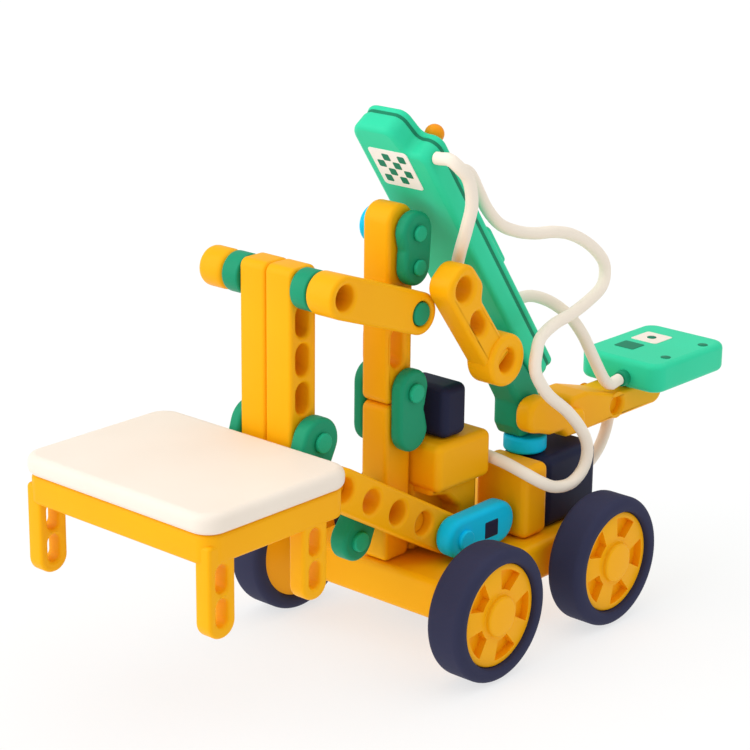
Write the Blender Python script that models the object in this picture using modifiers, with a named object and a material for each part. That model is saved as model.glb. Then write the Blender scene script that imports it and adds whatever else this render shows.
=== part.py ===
"""Toy construction-kit robot: a four-wheeled base, a lift that carries a small
table, and a turret with a controller bar and a sensor arm.

Frame while building: X along the axles, Y to the rear, Z up, millimetres, with
the mast's axis at X = Y = 0. Everything is then shifted so that the origin is
at the bottom centre of the whole object.
"""

from bisect import bisect_left
from math import atan2, cos, hypot, pi, radians, sin

import bmesh
import bpy
from mathutils import Matrix, Vector

# ---------------------------------------------------------------- driving dimensions, mm
GAP = 0.3                # between pieces that touch
PIN_R = 3.0              # every pin and axle
BORE_R = PIN_R + GAP
HOLE_R = 5.85            # open holes of the kit's beams
BEAM_R = 10.0            # half width of beams and plates
DRIVE_X = (8.3, 24.0)    # thickness of the lift's beams along X

WHEEL_R = 32.5
RIM_R = 25.0
WHEEL_X = (53.0, 73.0)
AXLE_Y = (0.0, 89.5)
AXLE_Z = WHEEL_R

CHASSIS_X = 46.0
CHASSIS_Y = (-10.0, 115.0)
CHASSIS_Z = (23.0, 43.0)
DECK_Z = CHASSIS_Z[1] + GAP

MAST_X = 8.0
MAST_Y = 9.0
MAST_SPLIT_Z = 121.5
MAST_TOP_Z = 216.0
PLATE_X = (8.3, 15.0)    # green plates on the mast

BEAM_ANGLE = radians(30)
BEAM_PITCH = 21.1
LIFT_PIVOT = (0.8, 64.9)
ARM_PIVOT = (-3.0, 168.0)
CROSSBAR = (-54.5, 186.0)
POST_Y = -54.0
EAR_PIN = (-51.5, 114.5)
POST_Z = (88.0, 195.5)

TABLE_X = (-79.5, 41.0)
TABLE_Y = (-156.4, -66.6)
TABLE_Z = (106.5, 116.0)
APRON_Z = 93.0
APRON_INSET = 2.0        # the table's edge overhangs its frame by this much
APRON_WALL = 9.0
LEG_FOOT_Z = 59.0
LEG_WIDTH = 15.5
BACK_LEG_Y = -89.3

SENSOR_X = (-2.0, 48.5)
SENSOR_Y = (151.0, 214.2)
SENSOR_Z = (97.3, 112.5)

TURRET = (19.0, 82.0)
TURRET_X = (8.0, 24.0)
BAR_TILT = radians(35)
BAR_FACES = (135.0, 146.0, 146.3, 150.0)   # distances along the bar's normal
BAR_X = (-16.0, 24.0)
BAR_S = (43.0, 212.0)                      # distances along the bar
LINK_PIVOT = (40.5, 139.5)
BUTTON = (12.5, 192.5)    # x and distance along the bar
CABLE_R = 3.0
END_LEAD = 2.0           # straight length at each end of a cable

# mast axis to the middle of the whole object
CENTRE = ((TABLE_X[0] + WHEEL_X[1]) / 2, (TABLE_Y[0] + SENSOR_Y[1]) / 2)


def beam_hole(index):
    """Centre (y, z) of a hole of the perforated beam; hole 3 is the lift's pivot."""
    reach = (3 - index) * BEAM_PITCH
    return LIFT_PIVOT[0] - reach * cos(BEAM_ANGLE), LIFT_PIVOT[1] + reach * sin(BEAM_ANGLE)


COLOURS = {
    "yellow": ((0.95, 0.42, 0.01), 0.4, 0.0),
    "orange": ((0.9, 0.25, 0.01), 0.35, 0.0),
    "dark_green": ((0.02, 0.26, 0.14), 0.4, 0.0),
    "light_green": ((0.05, 0.62, 0.36), 0.4, 0.0),
    "navy": ((0.02, 0.022, 0.07), 0.5, 0.0),
    "tyre": ((0.022, 0.023, 0.06), 0.75, 0.0),
    "blue": ((0.01, 0.4, 0.68), 0.4, 0.0),
    "cream": ((0.92, 0.85, 0.74), 0.45, 0.0),
    "cable": ((0.92, 0.83, 0.7), 0.5, 0.0),
    "steel": ((0.6, 0.6, 0.6), 0.3, 1.0),
    "board": ((0.01, 0.12, 0.05), 0.5, 0.0),
    "battery": ((0.06, 0.06, 0.08), 0.45, 0.0),
}
BODIES = {
    "root": (0, 0, 0),
    "front_axle": (0, AXLE_Y[0], AXLE_Z),
    "rear_axle": (0, AXLE_Y[1], AXLE_Z),
    "lift_beam": (0, *LIFT_PIVOT),
    "carriage": (0, *beam_hole(0)),
    "upper_arm": (0, *ARM_PIVOT),
    "lever": (0, *beam_hole(4)),
    "turret": (*TURRET, 90),
    "side_link": (0, *LINK_PIVOT),
    "button": (BUTTON[0], 12, 249),
}


# ---------------------------------------------------------------- scene and materials
def clear_scene():
    for obj in list(bpy.data.objects):
        bpy.data.objects.remove(obj, do_unlink=True)


def new_collection(name):
    collection = bpy.data.collections.new(name)
    bpy.context.scene.collection.children.link(collection)
    return collection


def make_material(name):
    colour, roughness, metallic = COLOURS[name]
    material = bpy.data.materials.new(name)
    material.use_nodes = True
    shader = material.node_tree.nodes["Principled BSDF"]
    shader.inputs["Base Color"].default_value = (*colour, 1)
    shader.inputs["Roughness"].default_value = roughness
    shader.inputs["Metallic"].default_value = metallic
    return material


def world(x, y, z):
    """A point of the building frame as a world position in metres."""
    return Vector((x - CENTRE[0], y - CENTRE[1], z)) * 0.001


clear_scene()
PARTS = new_collection("robot_kit")
CUTTERS = new_collection("cutters")
MATERIALS = {name: make_material(name) for name in COLOURS}
AXES = {}
for body_name, place in BODIES.items():
    empty = bpy.data.objects.new("axis_" + body_name, None)
    empty.location = world(*place)
    PARTS.objects.link(empty)
    AXES[body_name] = empty
bpy.context.view_layer.update()


def add_part(obj, body, colour):
    """Puts a finished object in its body, with its colour."""
    obj.data.materials.clear()
    obj.data.materials.append(MATERIALS[colour])
    if obj.type == "MESH":
        obj.data.shade_smooth()
        obj.data.set_sharp_from_angle(angle=radians(35))
    obj.parent = AXES[body]
    obj.matrix_parent_inverse = AXES[body].matrix_world.inverted()
    return obj


# ---------------------------------------------------------------- outlines, lists of points
def arc(centre, radius, start, end, count):
    """Points of an arc, both ends included; angles in degrees."""
    steps = [radians(start + (end - start) * i / (count - 1)) for i in range(count)]
    return [(centre[0] + radius * cos(a), centre[1] + radius * sin(a)) for a in steps]


def circle(centre, radius, count=20):
    return arc(centre, radius, 0, 360, count + 1)[:-1]


def capsule(first, second, radius, second_radius=None, count=11):
    """A bar with round ends; the ends may have unlike radii."""
    second_radius = radius if second_radius is None else second_radius
    dx, dy = second[0] - first[0], second[1] - first[1]
    along = atan2(dy, dx) * 180 / pi
    lean = atan2(radius - second_radius, hypot(dx, dy)) * 180 / pi
    near = arc(first, radius, along + 90 - lean, along + 270 + lean, count)
    far = arc(second, second_radius, along - 90 + lean, along + 90 - lean, count)
    return near + far


def slot(centre, radius, half_length, count=7):
    """An upright slot with round ends."""
    y, z = centre
    return capsule((y, z - half_length), (y, z + half_length), radius, count=count)


def rounded(corners, count=5):
    """A polygon whose corners, given as (x, y, radius), are rounded."""
    points = []
    for i, (x, y, radius) in enumerate(corners):
        here = Vector((x, y))
        back = (Vector(corners[i - 1][:2]) - here).normalized()
        ahead = (Vector(corners[(i + 1) % len(corners)][:2]) - here).normalized()
        half = back.angle(ahead) / 2
        reach = radius * cos(half) / sin(half)
        centre = here + (back + ahead).normalized() * (radius / sin(half))
        first = here + back * reach - centre
        turn = first.angle_signed(here + ahead * reach - centre)
        for step in range(count):
            swing = Matrix.Rotation(-turn * step / (count - 1), 2)
            points.append(tuple(centre + swing @ first))
    return points


def rectangle(x_range, y_range, radius):
    (x0, x1), (y0, y1) = x_range, y_range
    return rounded([(x0, y0, radius), (x1, y0, radius), (x1, y1, radius), (x0, y1, radius)])


# ---------------------------------------------------------------- solids
def mesh_from_curve(obj):
    """Turns a curve object into a mesh object whose caps are welded on."""
    bpy.context.view_layer.update()
    evaluated = obj.evaluated_get(bpy.context.evaluated_depsgraph_get())
    mesh = bpy.data.meshes.new_from_object(evaluated)
    form = bmesh.new()
    form.from_mesh(mesh)
    bmesh.ops.remove_doubles(form, verts=form.verts, dist=1e-6)
    bmesh.ops.recalc_face_normals(form, faces=form.faces)
    form.to_mesh(mesh)
    form.free()
    solid = bpy.data.objects.new(obj.name, mesh)
    solid.matrix_world = obj.matrix_world
    name = obj.name
    bpy.data.objects.remove(obj, do_unlink=True)
    solid.name = name
    PARTS.objects.link(solid)
    return solid


SIDE = Matrix(((0, 0, 1), (1, 0, 0), (0, 1, 0))).to_4x4()    # outline in Y-Z, thickness X
FLAT = Matrix.Identity(4)                                    # outline in X-Y, thickness Z
BAR = Matrix.Rotation(pi / 2 + BAR_TILT, 4, "X")             # outline in the bar's plane


def slab(name, facing, span, outline, holes=()):
    """A flat outline given thickness; span is its range along the facing's normal."""
    curve = bpy.data.curves.new(name, "CURVE")
    curve.dimensions = "2D"
    curve.fill_mode = "BOTH"
    curve.extrude = abs(span[1] - span[0]) / 2 * 0.001
    for loop in (outline, *holes):
        spline = curve.splines.new("POLY")
        spline.points.add(len(loop) - 1)
        for point, (u, v) in zip(spline.points, loop):
            point.co = (u * 0.001, v * 0.001, 0, 1)
        spline.use_cyclic_u = True
    obj = bpy.data.objects.new(name, curve)
    lift = Matrix.Translation((0, 0, (span[0] + span[1]) / 2 * 0.001))
    obj.matrix_world = Matrix.Translation(world(0, 0, 0)) @ facing @ lift
    PARTS.objects.link(obj)
    return mesh_from_curve(obj)


def box(name, x_range, y_range, z_range, bevel=0.0):
    """A box, its edges chamfered when bevel is given."""
    mesh = bpy.data.meshes.new(name)
    form = bmesh.new()
    bmesh.ops.create_cube(form, size=1)
    size = [(high - low) * 0.001 for low, high in (x_range, y_range, z_range)]
    bmesh.ops.scale(form, vec=size, verts=form.verts)
    form.to_mesh(mesh)
    form.free()
    obj = bpy.data.objects.new(name, mesh)
    obj.location = world(*(sum(r) / 2 for r in (x_range, y_range, z_range)))
    PARTS.objects.link(obj)
    if bevel:
        edge = obj.modifiers.new("edges", "BEVEL")
        edge.width = bevel * 0.001
        edge.segments = 2
    return obj


ALONG_X = (0, pi / 2, 0)
ALONG_Z = (0, 0, 0)
FORWARD = (pi / 2, 0, 0)
OFF_BAR = (BAR_TILT - pi / 2, 0, 0)


def turned(name, profile, centre, axis, closed=False, steps=24):
    """A turned solid: profile points are (radius, height), down the outer side."""
    mesh = bpy.data.meshes.new(name)
    form = bmesh.new()
    points = [form.verts.new((r * 0.001, 0, h * 0.001)) for r, h in profile]
    for first, second in zip(points, points[1:] + (points[:1] if closed else [])):
        form.edges.new((first, second))
    form.to_mesh(mesh)
    form.free()
    obj = bpy.data.objects.new(name, mesh)
    obj.location = world(*centre)
    obj.rotation_euler = axis
    PARTS.objects.link(obj)
    screw = obj.modifiers.new("turn", "SCREW")
    screw.steps = screw.render_steps = steps
    screw.use_merge_vertices = True
    screw.merge_threshold = 1e-5
    return obj


def pin(name, sections, centre, steps=16):
    """A stepped pin along X: sections are (radius, from x, to x), from -X to +X."""
    profile = [(0, sections[-1][2])]
    for radius, low, high in reversed(sections):
        profile += [(radius, high), (radius, low)]
    profile.append((0, sections[0][1]))
    return turned(name, profile, (0, *centre), ALONG_X, steps=steps)


def boolean(obj, operation, others):
    """Cuts or joins other objects, which become guides."""
    for other in others:
        for old in other.users_collection:
            old.objects.unlink(other)
        CUTTERS.objects.link(other)
        other.hide_render = True
        other.display_type = "WIRE"
        modifier = obj.modifiers.new(operation.lower(), "BOOLEAN")
        modifier.operation = operation
        modifier.object = other
    return obj


def cut(obj, *others):
    return boolean(obj, "DIFFERENCE", others)


def join(obj, *others):
    return boolean(obj, "UNION", others)


def smooth_route(points, spacing):
    """Evenly spaced points on a smooth curve through the given points."""
    points = [Vector(p) for p in points]
    ends = [2 * points[0] - points[1], *points, 2 * points[-1] - points[-2]]
    dense = []
    for p0, p1, p2, p3 in zip(ends, ends[1:], ends[2:], ends[3:]):
        for step in range(40):
            t = step / 40
            dense.append(0.5 * (2 * p1 + (p2 - p0) * t + (2 * p0 - 5 * p1 + 4 * p2 - p3) * t * t
                                + (3 * p1 - p0 - 3 * p2 + p3) * t ** 3))
    dense.append(points[-1])
    travelled = [0.0]
    for first, second in zip(dense, dense[1:]):
        travelled.append(travelled[-1] + (second - first).length)
    count = max(3, round(travelled[-1] / spacing))
    inside = [travelled[-1] * i / count for i in range(1, count)]
    targets = [0, END_LEAD, *inside, travelled[-1] - END_LEAD, travelled[-1]]
    return [dense[min(bisect_left(travelled, t - 1e-9), len(dense) - 1)] for t in targets]


def cable(name, body, points):
    """A tube along a smooth curve through hand-chosen points."""
    curve = bpy.data.curves.new(name, "CURVE")
    curve.dimensions = "3D"
    curve.bevel_depth = CABLE_R * 0.001
    curve.bevel_resolution = 2
    curve.use_fill_caps = True
    route = smooth_route(points, 10.0)
    spline = curve.splines.new("POLY")
    spline.points.add(len(route) - 1)
    for point, place in zip(spline.points, route):
        point.co = (*world(*place), 1)
    obj = bpy.data.objects.new(name, curve)
    PARTS.objects.link(obj)
    return add_part(obj, body, "cable")


# ---------------------------------------------------------------- base
def build_chassis():
    hull = slab("chassis", FLAT, CHASSIS_Z, rectangle((-CHASSIS_X, CHASSIS_X), CHASSIS_Y, 8))
    bay = box("battery_bay", (-25, 25), (18, 72), (20, 38))
    bores = [pin("bore_%d" % i, [(BORE_R, -60, 60)], (y, AXLE_Z)) for i, y in enumerate(AXLE_Y)]
    add_part(cut(hull, bay, *bores), "root", "yellow")
    add_part(box("battery_pack", (-24.7, 24.7), (18.3, 71.7), (23, 37.7), 1), "root", "battery")


def build_wheel(side, end, body, axle_y):
    """Rim with five wedge pockets, and the tyre round it."""
    name = "%s_%%s_%s" % (end, side)
    sign = 1 if side == "right" else -1
    inner, outer = WHEEL_X[0] * sign, WHEEL_X[1] * sign
    place = (0, axle_y, AXLE_Z)
    rim = [(0, outer), (9.3, outer), (9.3, outer - 2.5 * sign), (RIM_R - 0.8, outer - 2.5 * sign),
           (RIM_R, outer - 3.3 * sign), (RIM_R, inner + 2 * sign), (BORE_R, inner + 2 * sign),
           (BORE_R, outer - 4 * sign), (0, outer - 4 * sign)]
    rubber = [(RIM_R + GAP, outer - 1.5 * sign), (26.5, outer), (29.5, outer),
              (31.8, outer - 1.2 * sign), (WHEEL_R, outer - 4 * sign), (WHEEL_R, inner + 4 * sign),
              (31.8, inner + 1.2 * sign), (29.5, inner), (RIM_R + GAP, inner)]
    if sign < 0:
        rim.reverse()
        rubber.reverse()
    disc = turned(name % "rim", rim, place, ALONG_X, steps=32)
    pockets = []
    for spoke in range(5):
        turn = 68 + 72 * spoke
        wedge = (arc((axle_y, AXLE_Z), 22, turn - 20, turn + 20, 5)
                 + arc((axle_y, AXLE_Z), 12.5, turn + 15, turn - 15, 3))
        span = sorted((outer - 6.5 * sign, outer + 2 * sign))
        pockets.append(slab("pocket", SIDE, span, wedge))
    add_part(cut(disc, *pockets), body, "yellow")
    add_part(turned(name % "tyre", rubber, place, ALONG_X, closed=True, steps=32), body, "tyre")


def build_axles():
    for end, axle_y in zip(("front", "rear"), AXLE_Y):
        body = end + "_axle"
        add_part(pin(body + "_rod", [(PIN_R, -68.6, 68.6)], (axle_y, AXLE_Z)), body, "steel")
        for side in ("left", "right"):
            build_wheel(side, end, body, axle_y)


def build_gearboxes():
    """Two gearboxes with their motors; the front one is relieved for the lift beam."""
    head = box("gearbox_front", (-20, 24), (10.5, 50), (76, 100), 3)
    body = box("gearbox_front_body", (-20, 18.5), (10.5, 46), (DECK_Z, 78), 2)
    relief = slab("beam_relief", SIDE, (7.7, 30), [(5, 40), (33.2, 40), (33.2, 62.3), (24, 71), (5, 75.2)])
    gland = box("cable_gland", (2, 10.5), (48, 56.5), (80, 88), 1)
    add_part(cut(join(head, body, gland), relief), "root", "yellow")
    add_part(box("motor_front", (-8, 20), (19, 36), (100.3, 126), 3), "root", "navy")
    add_part(box("gearbox_rear", (7, 39), (58.2, 76.5), (DECK_Z, 80), 2.5), "root", "yellow")
    motor = box("motor_rear", (8, 37), (76.8, 118), (DECK_Z, 80), 2.5)
    spindle_bore = [(0, 12), (BORE_R, 12), (BORE_R, -12.5), (0, -12.5)]
    bore = turned("spindle_bore", spindle_bore, (*TURRET, 80), ALONG_Z, steps=16)
    add_part(cut(motor, bore), "root", "navy")


def build_mast():
    foot = rounded([(-MAST_Y, DECK_Z, 3), (MAST_Y, DECK_Z, 3), (MAST_Y, MAST_SPLIT_Z - GAP, 3),
                    (-MAST_Y, MAST_SPLIT_Z - GAP, 3)])
    lower = slab("mast_lower", SIDE, (-MAST_X, MAST_X), foot, [circle(LIFT_PIVOT, BORE_R, 14)])
    add_part(lower, "root", "yellow")
    top = rounded([(-MAST_Y, MAST_SPLIT_Z, 3), (MAST_Y, MAST_SPLIT_Z, 3),
                   (MAST_Y, MAST_TOP_Z, 8.5), (-MAST_Y, MAST_TOP_Z, 8.5)])
    holes = [circle((3, 127), BORE_R, 14), slot((-1.4, 148), 4.2, 5),
             circle(ARM_PIVOT, BORE_R, 14), circle((4, 187), 2.8, 12), circle((4, 203), 2.8, 12)]
    add_part(slab("mast_upper", SIDE, (-MAST_X, MAST_X), top, holes), "root", "yellow")
    for side, sign in (("right", 1), ("left", -1)):
        span = sorted((PLATE_X[0] * sign, PLATE_X[1] * sign))
        waist = (arc((3, 128), 10, 0, 180, 11) + arc((3, 108), 10, 180, 360, 11)
                 + [(11.6, 116), (11.0, 119)])
        plate = slab("mast_plate_" + side, SIDE, span, waist, [circle((3, 127), BORE_R, 14)])
        add_part(plate, "root", "dark_green")
    splice = [(4.6, -17.3, -15.3), (PIN_R, -15.3, 15.3), (4.6, 15.3, 17.3)]
    add_part(pin("mast_splice_pin", splice, (3, 127)), "root", "light_green")
    tip = (arc((4, 203), 10, 0, 180, 11) + [(-5.0, 197), (-4.4, 193)]
           + arc((4, 187), 8.9, 180, 360, 11))
    holes = [circle((4, z), 2.8, 12) for z in (187, 203)]
    add_part(slab("mast_top_plate", SIDE, PLATE_X, tip, holes), "root", "dark_green")
    for name, z, inner in (("lower", 187, -8), ("upper", 203, -13.5)):
        sections = [(2.5, inner, 15.3), (3.8, 15.3, 17)]
        add_part(pin("mast_top_pin_" + name, sections, (4, z)), "root", "light_green")
    cap = [(0, -14.5), (8.2, -14.5), (9.2, -13.5), (9.2, -8.3), (2.8, -8.3), (2.8, -13.8),
           (0, -13.8)]
    add_part(turned("mast_cap", cap[::-1], (0, 4, 203), ALONG_X), "root", "blue")
    sections = [(PIN_R, -8, 8.3), (5.5, 8.3, 21.5)]
    add_part(pin("lift_pin", sections, LIFT_PIVOT), "root", "yellow")
    sections = [(PIN_R, -8, 8.3), (5.5, 8.3, 24)]
    add_part(pin("upper_arm_pin", sections, ARM_PIVOT), "root", "dark_green")


# ---------------------------------------------------------------- lift
def build_lift():
    holes = [circle(beam_hole(i), HOLE_R, 18) for i in range(5)]
    beam = slab("perforated_beam", SIDE, DRIVE_X, capsule(beam_hole(0), beam_hole(4), BEAM_R), holes)
    add_part(beam, "lift_beam", "yellow")
    stub = (-27.0, 60.0)
    plate = slab("beam_plate", SIDE, (-2, 8), capsule(stub, beam_hole(2), 10, 7.3),
                 [circle(stub, BORE_R, 14)])
    boss = pin("plate_boss", [(PIN_R, -2, 7), (5.5, 7, 14)], beam_hole(2))
    add_part(join(plate, boss), "lift_beam", "dark_green")
    add_part(pin("beam_plate_pin", [(PIN_R, -2, 8.3), (4.8, 8.3, 10.3)], stub), "lift_beam",
             "light_green")
    arm = slab("upper_arm_beam", SIDE, DRIVE_X, capsule(CROSSBAR, ARM_PIVOT, BEAM_R),
               [circle(CROSSBAR, HOLE_R, 18), circle(ARM_PIVOT, HOLE_R, 18)])
    add_part(arm, "upper_arm", "yellow")
    key_y, key_z = (33.6, 43.8), (50.0, 58.8)
    window = rectangle([key_y[0] - GAP, key_y[1] + GAP], [key_z[0] - GAP, key_z[1] + GAP], 1)
    grip = slab("lever_arm", SIDE, (24.3, 34), capsule((17.3, 55.3), (46.3, 55.2), 9.8, 10.5),
                [circle(beam_hole(4), BORE_R, 14), window])
    add_part(grip, "lever", "blue")
    add_part(box("lever_key", (25, 34.4), key_y, key_z, 0.6), "lever", "navy")
    sections = [(5.5, 9, 24), (PIN_R, 24, 34.3), (4.8, 34.3, 36)]
    add_part(pin("lever_pin", sections, beam_hole(4)), "lever", "blue")


def build_carriage():
    low, high = POST_Z
    outline = rectangle((POST_Y - 8.5, POST_Y + 8.5), (low, high), 4)
    holes = [circle(beam_hole(0), BORE_R, 14), circle(CROSSBAR, BORE_R, 14),
             circle(EAR_PIN, BORE_R, 14)]
    holes += [slot((POST_Y, z), 4.4, 3) for z in (133.9, 152.2, 170.5)]
    for name, span in (("right", (-18, -2)), ("left", (-34, -18.3))):
        add_part(slab("post_" + name, SIDE, span, outline, holes), "carriage", "yellow")
    for name, x, width in (("inner", -1.7, 9.4), ("outer", -44, 9.7)):
        profile = [(9.5, width), (9.5, 0), (BORE_R, 0), (BORE_R, width)]
        spacer = turned("crossbar_ring_" + name, profile, (x, *CROSSBAR), ALONG_X, closed=True)
        add_part(spacer, "carriage", "dark_green")
    knob = [(0, -60), (7.6, -60), (9.5, -58), (9.5, -44.3), (BORE_R, -44.3), (BORE_R, -57), (0, -57)]
    add_part(turned("crossbar_knob", knob[::-1], (0, *CROSSBAR), ALONG_X), "carriage", "yellow")
    add_part(pin("crossbar_rod", [(PIN_R, -56.6, 14)], CROSSBAR), "carriage", "yellow")
    add_part(pin("lower_rod", [(PIN_R, -41, 8.3), (5.4, 8.3, 18)], beam_hole(0)), "carriage",
             "yellow")
    for name, span in (("right", (-1.7, 7)), ("left", (-41, -34.3))):
        ear = slab("ear_" + name, SIDE, span, capsule(EAR_PIN, (-58.2, 98.3), 11.5, BEAM_R),
                   [circle(EAR_PIN, BORE_R, 14), circle(beam_hole(0), BORE_R, 14)])
        add_part(ear, "carriage", "dark_green")
    sections = [(4.8, -43.2, -41.3), (PIN_R, -41.3, 7.3), (4.8, 7.3, 9.2)]
    add_part(pin("ear_pin", sections, EAR_PIN), "carriage", "light_green")
    build_table()


def build_table():
    add_part(slab("table_top", FLAT, TABLE_Z, rectangle(TABLE_X, TABLE_Y, 11)), "carriage", "cream")
    outer = [(low + APRON_INSET, high - APRON_INSET) for low, high in (TABLE_X, TABLE_Y)]
    inner = [(low + APRON_WALL, high - APRON_WALL) for low, high in outer]
    frame = slab("table_frame", FLAT, (APRON_Z, TABLE_Z[0] - GAP), rectangle(*outer, 8),
                 [rectangle(*inner, 4)])
    legs = []
    for low_x in (outer[0][0] + GAP, outer[0][1] - APRON_WALL - GAP):
        for centre in (outer[1][0] + LEG_WIDTH / 2 + 0.6, BACK_LEG_Y):
            front, back = centre - LEG_WIDTH / 2, centre + LEG_WIDTH / 2
            shape = rounded([(front, LEG_FOOT_Z, 7.2), (back, LEG_FOOT_Z, 7.2),
                             (back, APRON_Z + 9, 1), (front, APRON_Z + 9, 1)])
            holes = [slot((centre, z), 3.4, 3) for z in (70.5, 86.0)]
            legs.append(slab("table_leg", SIDE, (low_x, low_x + APRON_WALL), shape, holes))
    add_part(join(frame, *legs), "carriage", "yellow")


# ---------------------------------------------------------------- turret
def bar_point(x, s, n):
    """Building-frame point at x, s along the bar and n along its normal."""
    return x, n * cos(BAR_TILT) - s * sin(BAR_TILT), n * sin(BAR_TILT) + s * cos(BAR_TILT)


def build_bar():
    (x0, x1), (s0, s1) = BAR_X, BAR_S
    outline = rounded([(x0, s0, 5), (x1, s0, 5), (x1, s1 - 13, 5), (x1 - 11, s1 - 13, 4),
                       (x1 - 15, s1, 5), (x0, s1, 7)])
    pocket = rectangle((x0 + 4, x1 - 4), (s0 + 15, s1 - 24), 2)
    front = slab("controller_front", BAR, (-BAR_FACES[1], -BAR_FACES[0]), outline)
    front_pocket = slab("front_pocket", BAR, (-BAR_FACES[1] - 1, -BAR_FACES[1] + 4.5), pocket)
    add_part(cut(front, front_pocket), "turret", "light_green")
    back = slab("controller_back", BAR, (-BAR_FACES[3], -BAR_FACES[2]), outline)
    back_pocket = slab("back_pocket", BAR, (-BAR_FACES[2] - 1.2, -BAR_FACES[2] + 1), pocket)
    pad = slab("back_pad", BAR, (-BAR_FACES[3] - 3, -BAR_FACES[3] + 1),
               rectangle((x0 + 2, x1 - 2), (113, 137), 3))
    bore = slab("button_bore", BAR, (-BAR_FACES[3] - 1, -BAR_FACES[3] + 2.6),
                circle(BUTTON, BORE_R, 14))
    add_part(cut(join(back, pad), back_pocket, bore), "turret", "light_green")
    board = slab("controller_board", BAR, (-BAR_FACES[1] + 1.6, -BAR_FACES[1] + 4.2),
                 rectangle((x0 + 4.3, x1 - 4.3), (s0 + 15.3, s1 - 24.3), 1.7))
    add_part(board, "turret", "board")
    ball = [(radius, height + 5) for radius, height in arc((0, 0), 4.6, 90, -48, 8)]
    profile = [(max(r, 0), h) for r, h in ball] + [(PIN_R, -1.1), (0, -1.1)]
    button = turned("power_button", profile, bar_point(*BUTTON, BAR_FACES[3]), OFF_BAR, steps=16)
    add_part(button, "button", "orange")


def build_turret():
    knob = [(0, 8.7), (9.6, 8.7), (10.7, 7.4), (10.7, 0.3), (PIN_R, 0.3), (PIN_R, -11.5), (0, -11.5)]
    add_part(turned("turret_knob", knob, (*TURRET, 80), ALONG_Z), "turret", "blue")
    outline = rounded([(73, 89, 3), (69.5, 95, 3), (69.5, 107, 5), (59, 123, 4), (56, 133, 3),
                       (59.5, 146, 3), (81.5, 117.3, 4), (90, 104, 4), (92, 92, 4), (84, 89, 3)],
                      count=4)
    neck = slab("neck", SIDE, TURRET_X, outline)
    link_boss = slab("neck_boss", SIDE, (20, TURRET_X[1]), capsule(LINK_PIVOT, (60, 132), 5.6),
                     [circle(LINK_PIVOT, BORE_R, 14)])
    add_part(join(neck, link_boss), "turret", "dark_green")
    lobe = slab("sensor_arm", SIDE, (24.3, 34),
                rounded([(66, 95, 7), (77, 92.5, 5), (84, 90, 3), (93.5, 89.5, 3), (97, 85.5, 3),
                         (112, 85, 4), (112, 97, 4), (97, 99, 8), (86, 106, 8), (80, 111, 7),
                         (66, 111, 8)], count=4))
    wide = slab("arm_body", SIDE, (8, 30),
                rounded([(104, 83.5, 4), (182, 83.5, 7), (183.5, 97, 2.4), (141, 97, 8),
                         (118, 103.5, 8), (104, 103.5, 4)], count=4))
    dimple = slab("arm_dimple", SIDE, (22, 40), circle((143, 90.5), 4.8, 16))
    add_part(cut(join(lobe, wide), dimple), "turret", "yellow")
    shell = slab("sensor_box", FLAT, SENSOR_Z, rectangle(SENSOR_X, SENSOR_Y, 8))
    dimples = [turned("box_dimple", [(0, 6), (3, 6), (3, -1.5), (0, -1.5)], (x, y, SENSOR_Z[1]),
                      ALONG_Z, steps=12)
               for x, y in ((41, 168), (42.5, 199))]
    socket = turned("box_port", [(0, 4), (4.1, 4), (4.1, -2), (0, -2)],
                    (27.9, SENSOR_Y[0], 102.9), FORWARD, steps=16)
    add_part(cut(join(shell, socket), *dimples), "turret", "light_green")


def build_side_link():
    """A lobed link: its outline is set along and across the line from the pivot."""
    lean = atan2(40.0, -30.0)

    def from_pivot(along, across):
        return (LINK_PIVOT[0] + along * cos(lean) + across * sin(lean),
                LINK_PIVOT[1] + along * sin(lean) - across * cos(lean))

    shape = [(0, -10.5, 3), (60, -10.5, 8), (61, 10.5, 9), (42, 11, 6), (36, 5.5, 4), (0, 5.5, 2)]
    outline = rounded([(*from_pivot(a, c), r) for a, c, r in shape], count=6)
    link = slab("side_link_arm", SIDE, (24.5, 38), outline,
                [circle(from_pivot(50, 0), HOLE_R, 18),
                 capsule(from_pivot(27, -2.5), from_pivot(31, -2.5), 4.3, count=7)])
    boss = slab("link_boss", SIDE, (24.3, 40), circle(LINK_PIVOT, 12.7, 26))
    eye = slab("link_eye", SIDE, (20, 45), circle(LINK_PIVOT, HOLE_R, 18))
    add_part(cut(join(link, boss), eye), "side_link", "yellow")
    sections = [(PIN_R, 20, 24.3), (5.5, 24.3, 32)]
    add_part(pin("side_link_pin", sections, LINK_PIVOT), "turret", "yellow")


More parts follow.
